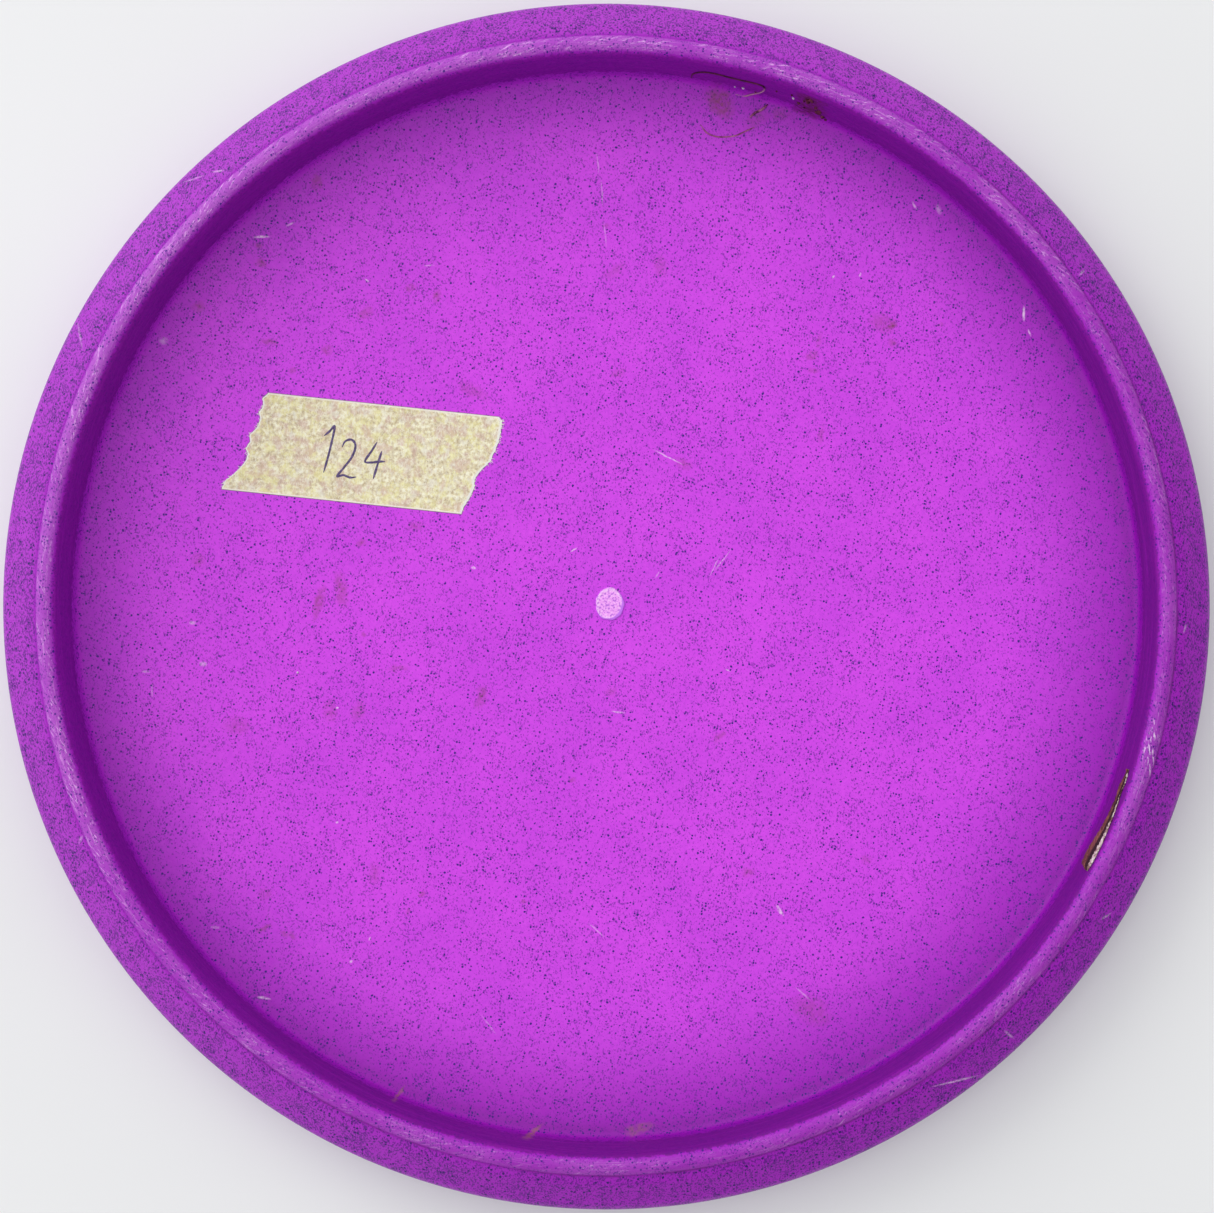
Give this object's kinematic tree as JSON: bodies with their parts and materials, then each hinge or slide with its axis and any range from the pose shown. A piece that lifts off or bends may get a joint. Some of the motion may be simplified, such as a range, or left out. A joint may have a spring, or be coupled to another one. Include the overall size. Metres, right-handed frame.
{
  "type": "flying disc",
  "caption": "One-piece moulded golf putter disc, hollow side up, with a torn masking-tape label on the underside of its plate.",
  "frame": {"origin": "middle of the outer face, which is the disc's top in flight and lies on the ground here", "axes": "+Z along the spin axis, out of the hollow side; the tape lies towards -X and +Y"},
  "size_m": [0.212, 0.212, 0.0188],
  "materials": {
    "disc_plastic": "satin",
    "tape_paper": "matte"
  },
  "bodies": {
    "root": {"disc_body": "disc_plastic", "tape_label": "tape_paper"}
  },
  "joints": []
}
